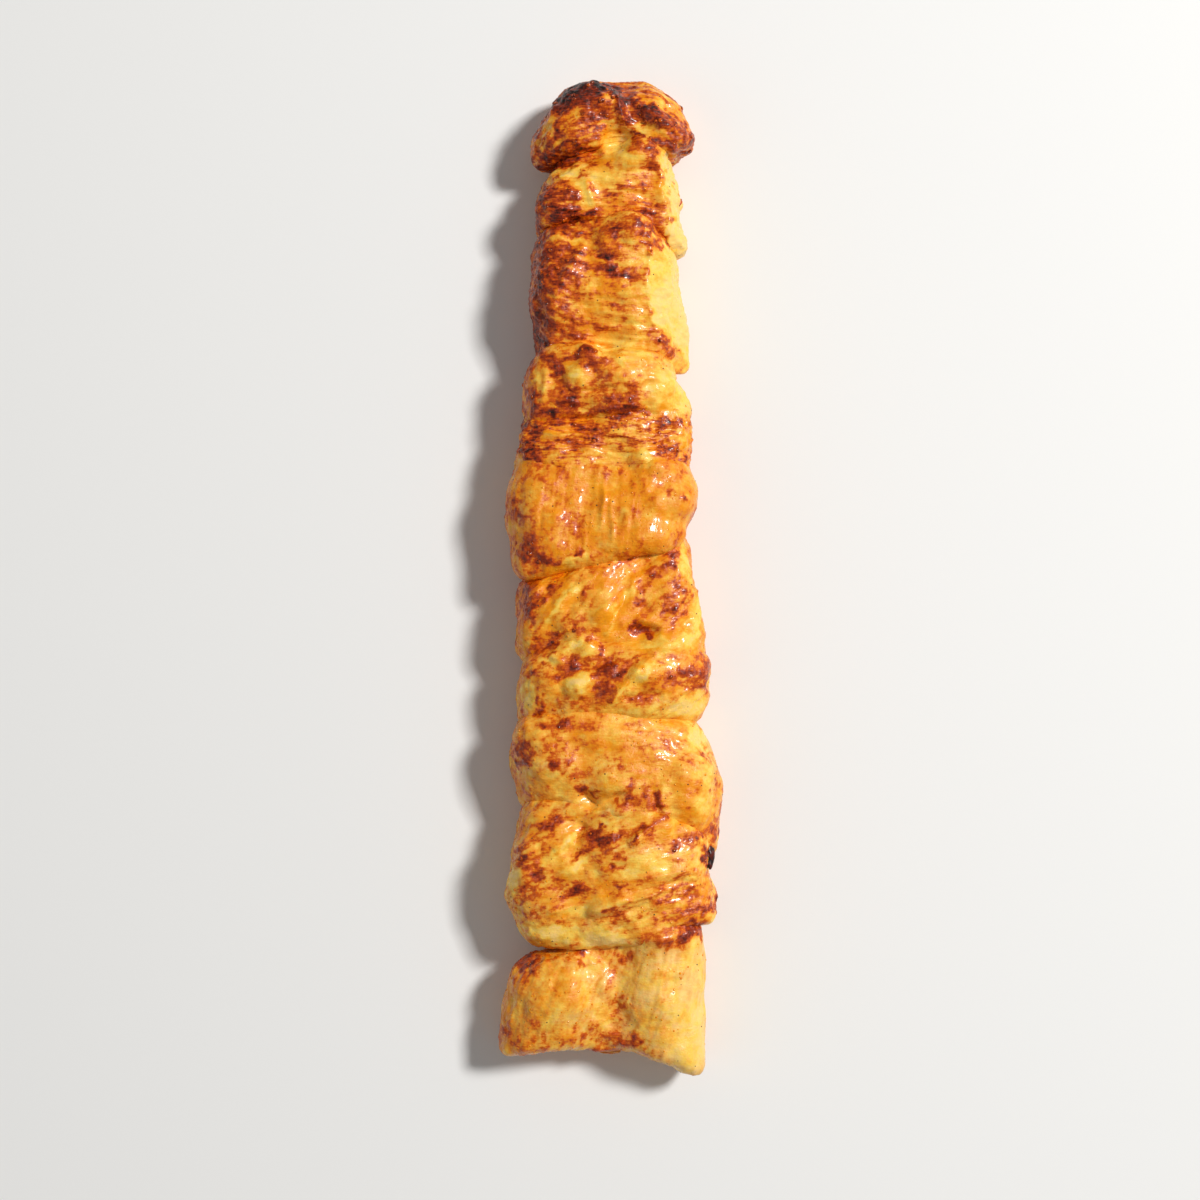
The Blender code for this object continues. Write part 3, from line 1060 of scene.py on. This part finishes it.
def colour_steps(tree, value, steps):
    """A colour ramp through (position, colour) steps."""
    ramp = add_node(tree, "ShaderNodeValToRGB", inputs={"Fac": value})
    elements = ramp.color_ramp.elements
    for index, (position, colour) in enumerate(steps):
        element = elements[index] if index < len(elements) else elements.new(position)
        element.position = position
        element.color = linear(colour)
    return ramp.outputs["Color"]


def mixed(tree, share, first, second):
    node = add_node(tree, "ShaderNodeMix", data_type="RGBA")
    tree.links.new(share, node.inputs["Factor"])
    tree.links.new(first, node.inputs["A"])
    tree.links.new(second, node.inputs["B"])
    return node.outputs["Result"]


def meat_material(piece):
    material, tree, shader = new_material(piece.node + "_finish")
    place = add_node(tree, "ShaderNodeTexCoord").outputs["Object"]
    turned = {"Vector": place, "Rotation": (0, 0, -math.radians(piece.fibres[1])), "Scale": (0.16, 1, 1)}
    streaks = add_node(tree, "ShaderNodeMapping", vector_type="POINT", inputs=turned).outputs["Vector"]
    level = attribute_value(tree, "brown")
    caught = scaled(tree, level, 0.0, 0.4, 0.12, 1.0)
    grain = scaled(tree, noise_value(tree, place, 0.9, 5.0), 0.3, 0.7, -0.13, 0.13)
    strands = scaled(tree, noise_value(tree, streaks, 0.7), 0.3, 0.7, -0.14 * piece.grain, 0.14 * piece.grain)
    brown = plus(tree, level, times(tree, caught, plus(tree, grain, strands)))
    shades = plus(tree, noise_value(tree, place, 2.6, 4.0), noise_value(tree, streaks, 1.6, 4.0))
    tint = plus(tree, attribute_value(tree, "tint"), scaled(tree, shades, 0.7, 1.3, -0.3, 0.3))
    flesh = colour_steps(tree, tint, ((0.0, CREAM), (0.42, PALE_YELLOW), (0.95, SAFFRON)))
    sear_steps = ((0.26, ORANGE), (0.46, DEEP_ORANGE), (0.66, RED_BROWN), (0.86, DARK_SEAR), (1.0, CHAR))
    seared = colour_steps(tree, brown, sear_steps)
    share = scaled(tree, brown, 0.0, 0.40, 0.0, 1.0)
    tree.links.new(mixed(tree, share, flesh, seared), shader.inputs["Base Color"])
    uneven = noise_value(tree, place, 2.2)
    tree.links.new(scaled(tree, uneven, 0.35, 0.65, 0.27, 0.5), shader.inputs["Roughness"])
    tree.links.new(scaled(tree, uneven, 0.42, 0.60, 0.35, 0.0), shader.inputs["Coat Weight"])
    height = plus(tree, noise_value(tree, place, 0.8), noise_value(tree, streaks, 0.6))
    bump = {"Height": height, "Strength": 0.7, "Distance": 0.25 * MM}
    tree.links.new(add_node(tree, "ShaderNodeBump", inputs=bump).outputs["Normal"], shader.inputs["Normal"])
    shader.inputs["Subsurface Weight"].default_value = 0.15
    shader.inputs["Subsurface Scale"].default_value = 2 * MM
    shader.inputs["Subsurface Radius"].default_value = (1.0, 0.5, 0.2)
    shader.inputs["Specular IOR Level"].default_value = 0.3
    shader.inputs["Coat Roughness"].default_value = 0.12
    return material


# What lies on the meat


def bead_material(name, dark, light, roughness):
    """A glossy finish that wanders between two colours."""
    material, tree, shader = new_material(name)
    place = add_node(tree, "ShaderNodeTexCoord").outputs["Object"]
    shade = noise_value(tree, place, 1.5)
    tree.links.new(colour_steps(tree, shade, ((0.4, dark), (0.6, light))), shader.inputs["Base Color"])
    shader.inputs["Roughness"].default_value = roughness
    return material


def open_socket(sockets, name):
    """The socket of that name which the node's data type has switched on."""
    return next(socket for socket in sockets if socket.name == name and socket.enabled)


def bead_tree(chunks):
    """Geometry Nodes that scatter flattened beads over the upper faces in a range of browning."""
    tree = bpy.data.node_groups.new("scatter_beads", "GeometryNodeTree")
    for name in ("Density", "Least Browning", "Most Browning", "Lowest", "Smallest", "Largest", "Flatness"):
        tree.interface.new_socket(name, in_out="INPUT", socket_type="NodeSocketFloat")
    tree.interface.new_socket("Seed", in_out="INPUT", socket_type="NodeSocketInt")
    tree.interface.new_socket("Finish", in_out="INPUT", socket_type="NodeSocketMaterial")
    tree.interface.new_socket("Beads", in_out="OUTPUT", socket_type="NodeSocketGeometry")
    given = tree.nodes.new("NodeGroupInput").outputs
    meat = tree.nodes.new("GeometryNodeJoinGeometry")
    for chunk in chunks:
        source = add_node(tree, "GeometryNodeObjectInfo", inputs={"Object": chunk})
        tree.links.new(source.outputs["Geometry"], meat.inputs["Geometry"])
    named = add_node(tree, "GeometryNodeInputNamedAttribute", data_type="FLOAT", inputs={"Name": "brown"})
    brown = open_socket(named.outputs, "Attribute")
    position = tree.nodes.new("GeometryNodeInputPosition").outputs[0]
    place = add_node(tree, "ShaderNodeSeparateXYZ", inputs={0: position})
    wanted = calculated(tree, "GREATER_THAN", brown, given["Least Browning"])
    wanted = times(tree, wanted, calculated(tree, "LESS_THAN", brown, given["Most Browning"]))
    wanted = times(tree, wanted, calculated(tree, "GREATER_THAN", place.outputs["Z"], given["Lowest"]))
    density = times(tree, wanted, given["Density"])
    inputs = {"Mesh": meat.outputs[0], "Density": density, "Seed": given["Seed"]}
    points = add_node(tree, "GeometryNodeDistributePointsOnFaces", inputs=inputs)
    ball = add_node(tree, "GeometryNodeMeshUVSphere", inputs={"Segments": 8, "Rings": 5, "Radius": 1.0})
    flat = add_node(tree, "ShaderNodeCombineXYZ", inputs={"X": 1.0, "Y": 1.0, "Z": given["Flatness"]})
    inputs = {"Geometry": ball.outputs["Mesh"], "Scale": flat.outputs[0]}
    bead = add_node(tree, "GeometryNodeTransform", inputs=inputs)
    size = add_node(tree, "FunctionNodeRandomValue", data_type="FLOAT")
    tree.links.new(given["Smallest"], open_socket(size.inputs, "Min"))
    tree.links.new(given["Largest"], open_socket(size.inputs, "Max"))
    tree.links.new(given["Seed"], open_socket(size.inputs, "Seed"))
    inputs = {"Points": points.outputs["Points"], "Instance": bead.outputs["Geometry"]}
    inputs |= {"Rotation": points.outputs["Rotation"], "Scale": open_socket(size.outputs, "Value")}
    placed = add_node(tree, "GeometryNodeInstanceOnPoints", inputs=inputs)
    real = add_node(tree, "GeometryNodeRealizeInstances", inputs={"Geometry": placed.outputs["Instances"]})
    smooth = add_node(tree, "GeometryNodeSetShadeSmooth", inputs={"Geometry": real.outputs["Geometry"]})
    inputs = {"Geometry": smooth.outputs["Geometry"], "Material": given["Finish"]}
    finished = add_node(tree, "GeometryNodeSetMaterial", inputs=inputs)
    tree.links.new(finished.outputs["Geometry"], tree.nodes.new("NodeGroupOutput").inputs["Beads"])
    return tree


def scatter(tree, name, slot, **values):
    """A piece of beads from the tree, whose inputs are given by their names."""
    seeder = bpy.data.objects.new("seeder", bpy.data.meshes.new("seeder"))
    bpy.context.scene.collection.objects.link(seeder)
    modifier = seeder.modifiers.new("scatter", "NODES")
    modifier.node_group = tree
    for item in tree.interface.items_tree:
        if item.in_out == "INPUT":
            modifier[item.identifier] = values[item.name.lower().replace(" ", "_")]
    bpy.context.view_layer.update()
    graph = bpy.context.evaluated_depsgraph_get()
    mesh = bpy.data.meshes.new_from_object(seeder.evaluated_get(graph))
    bpy.data.objects.remove(seeder)
    mesh.name = name
    add_piece(name, mesh, slot)


def scatter_all(chunks):
    tree = bead_tree(chunks)
    per_mm2 = 1e6
    scatter(
        tree,
        "sear_blisters",
        "seared_meat",
        density=0.05 * per_mm2,
        least_browning=0.66,
        most_browning=2.0,
        lowest=8 * MM,
        smallest=0.35 * MM,
        largest=0.85 * MM,
        flatness=0.5,
        seed=3,
        finish=bead_material("blister_finish", DARK_SEAR, DEEP_ORANGE, 0.14),
    )
    scatter(
        tree,
        "fat_beads",
        "golden_meat",
        density=0.05 * per_mm2,
        least_browning=0.06,
        most_browning=0.36,
        lowest=8 * MM,
        smallest=0.15 * MM,
        largest=0.45 * MM,
        flatness=0.4,
        seed=5,
        finish=bead_material("fat_finish", ORANGE, SAFFRON, 0.08),
    )
    scatter(
        tree,
        "spice_specks",
        "seared_meat",
        density=0.008 * per_mm2,
        least_browning=-1.0,
        most_browning=0.5,
        lowest=4 * MM,
        smallest=0.12 * MM,
        largest=0.28 * MM,
        flatness=0.7,
        seed=7,
        finish=bead_material("spice_finish", CHAR, DARK_SEAR, 0.5),
    )


class Bit(NamedTuple):
    """A small loose lump. Its place is a distance from the middle of a chunk's box in the frame."""

    name: str
    node: str
    slot: str
    x: float
    y: float
    rise: float  # height, as a share of the chunk's own
    half: tuple  # half length, half width, half height
    turn: float
    dark: tuple
    light: tuple


BITS = (
    Bit("char_chip", "chunk_10", "seared_meat", 32.3, 6.0, 0.59, (1.8, 4.2, 2.6), -8, CHAR, DARK_SEAR),
    Bit("char_crumb", "chunk_10", "seared_meat", 34.0, 12.4, 0.52, (1.3, 1.9, 1.5), 10, CHAR, RED_BROWN),
    Bit("side_knob", "chunk_02", "seared_meat", 23.0, 0.9, 0.57, (1.5, 1.5, 1.5), 0, RED_BROWN, DEEP_ORANGE),
    Bit(
        "torn_bit", "chunk_11_saddle_end", "golden_meat",
        1.8, -17.6, 0.40, (4.6, 1.5, 1.8), -8, DEEP_ORANGE, SAFFRON,
    ),
)


def make_bit(bit):
    build = bmesh.new()
    bmesh.ops.create_icosphere(build, subdivisions=4, radius=1.0)
    mesh = bpy.data.meshes.new(bit.name)
    build.to_mesh(mesh)
    build.free()
    low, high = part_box(bit.node)
    middle_x = (low.x + high.x) / 2 / MM + bit.x
    middle_y = (low.y + high.y) / 2 / MM + bit.y
    middle_z = (low.z + bit.rise * (high.z - low.z)) / MM
    middle = np.array([middle_x, middle_y, middle_z])
    ball = np.empty(len(mesh.vertices) * 3, np.float32)
    mesh.vertices.foreach_get("co", ball)
    ball = ball.reshape(-1, 3).astype(float)
    ball *= (1 + 0.35 * fractal(ball + middle, 0.9, 5, 3))[:, None]
    x, y, z = (ball * np.array(bit.half)).T
    angle = math.radians(bit.turn)
    cos, sin = math.cos(angle), math.sin(angle)
    turned = np.stack([x * cos - y * sin, x * sin + y * cos, z], axis=1)
    put_places(mesh, middle + turned)
    mesh.shade_smooth()
    mesh.materials.append(bead_material(bit.name + "_finish", bit.dark, bit.light, 0.32))
    add_piece(bit.name, mesh, bit.slot)


# The floor, the light and the camera


def aim(obj, target):
    obj.rotation_euler = (Vector(target) - obj.location).to_track_quat("-Z", "Y").to_euler()


def lay_floor():
    half_side = 3.0
    mesh = bpy.data.meshes.new("floor")
    corners = [(-half_side, -half_side), (half_side, -half_side)]
    corners += [(half_side, half_side), (-half_side, half_side)]
    mesh.from_pydata([(x, y, 0.0) for x, y in corners], [], [(0, 1, 2, 3)])
    material, _, shader = new_material("floor_finish")
    shader.inputs["Base Color"].default_value = linear(FLOOR_COLOUR)
    shader.inputs["Roughness"].default_value = 0.9
    mesh.materials.append(material)
    floor = bpy.data.objects.new("floor", mesh)
    bpy.context.scene.collection.objects.link(floor)


def hang_lamp(name, direction, distance, side, power):
    lamp = bpy.data.lights.new(name, "AREA")
    lamp.size = side
    lamp.energy = power
    obj = bpy.data.objects.new(name, lamp)
    obj.location = Vector(direction).normalized() * distance
    bpy.context.scene.collection.objects.link(obj)
    aim(obj, (0, 0, 0))


def light_world(strength):
    world = bpy.data.worlds.new("daylight")
    world.use_nodes = True
    background = world.node_tree.nodes["Background"]
    background.inputs["Color"].default_value = (1, 1, 1, 1)
    background.inputs["Strength"].default_value = strength
    bpy.context.scene.world = world


def place_camera():
    camera = bpy.data.cameras.new("camera")
    camera.sensor_width = 36
    camera.lens = CAMERA_LENS
    obj = bpy.data.objects.new("camera", camera)
    target = Vector(CAMERA_TARGET) * MM
    tilt = math.radians(CAMERA_TILT)
    obj.location = target + CAMERA_DISTANCE * Vector((0, -math.sin(tilt), math.cos(tilt)))
    bpy.context.scene.collection.objects.link(obj)
    aim(obj, target)
    bpy.context.scene.camera = obj


def main():
    scatter_all([make_chunk(piece) for piece in PIECES])
    for bit in BITS:
        make_bit(bit)
    lay_floor()
    light_world(WORLD_STRENGTH)
    for lamp in LAMPS:
        hang_lamp(*lamp)
    place_camera()
    bpy.context.scene.view_settings.view_transform = "Standard"


main()
